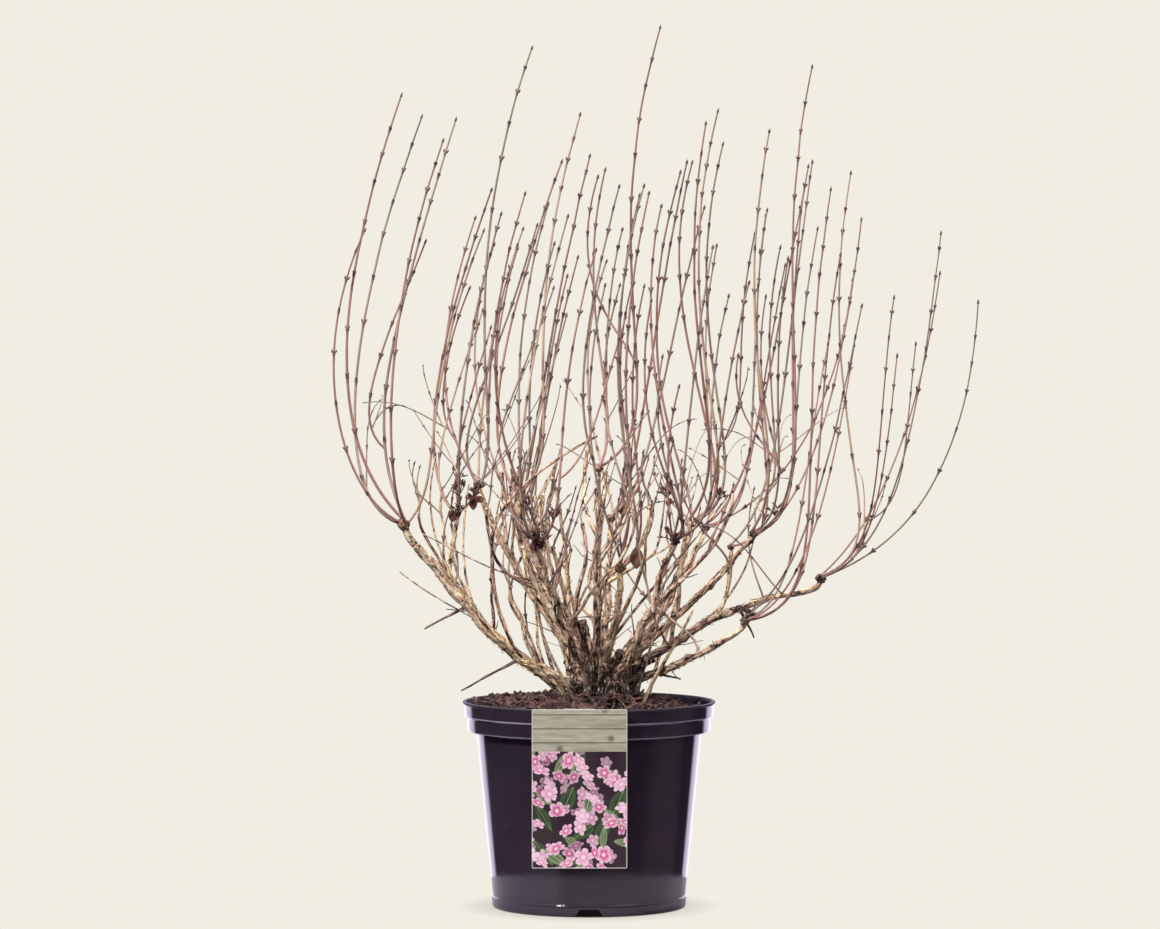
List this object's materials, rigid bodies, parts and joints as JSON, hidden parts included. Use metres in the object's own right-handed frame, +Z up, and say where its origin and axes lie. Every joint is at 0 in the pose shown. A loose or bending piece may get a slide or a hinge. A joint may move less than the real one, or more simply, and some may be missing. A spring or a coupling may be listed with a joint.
{
  "type": "weigela shrub in a nursery pot",
  "caption": "Bare winter shrub with upright budded twigs on old boughs, growing in a filled round nursery pot that stands on its flat underside and carries a hanging label.",
  "frame": {"origin": "centre of the pot's flat underside", "axes": "+Z up along the pot's axis; the label hangs on the -Y side, and +X is to the right of someone who faces the label"},
  "size_m": [0.7125, 0.5675, 0.9781],
  "materials": {
    "pot_plastic": "gloss",
    "compost": "matte",
    "label_card": "satin",
    "stool_wood": "matte",
    "old_bark": "matte",
    "young_twigs": "matte"
  },
  "bodies": {
    "root": {"pot": "pot_plastic", "soil": "compost", "label": "label_card", "stool": "stool_wood", "bough_left_low": "old_bark", "bough_left_mid": "old_bark", "bough_left_inner": "old_bark", "bough_front_left": "old_bark", "bough_back_left": "old_bark", "bough_centre": "old_bark", "bough_fork": "old_bark", "bough_front_right": "old_bark", "bough_back_mid": "old_bark", "bough_right_mid": "old_bark", "bough_right_inner": "old_bark", "bough_right_low": "old_bark", "bough_right_under": "old_bark", "bough_back_right": "old_bark", "twigs_left_outer": "young_twigs", "twigs_left_tall": "young_twigs", "twigs_left_mid": "young_twigs", "twigs_left_inner": "young_twigs", "twigs_front_left": "young_twigs", "twigs_back_left": "young_twigs", "twigs_centre": "young_twigs", "twigs_fork": "young_twigs", "twigs_front_right": "young_twigs", "twigs_back_mid": "young_twigs", "twigs_right_mid": "young_twigs", "twigs_right_inner": "young_twigs", "twigs_right_arch": "young_twigs", "twigs_right_outer": "young_twigs", "twigs_right_under": "young_twigs", "twigs_back_right": "young_twigs"}
  },
  "joints": []
}
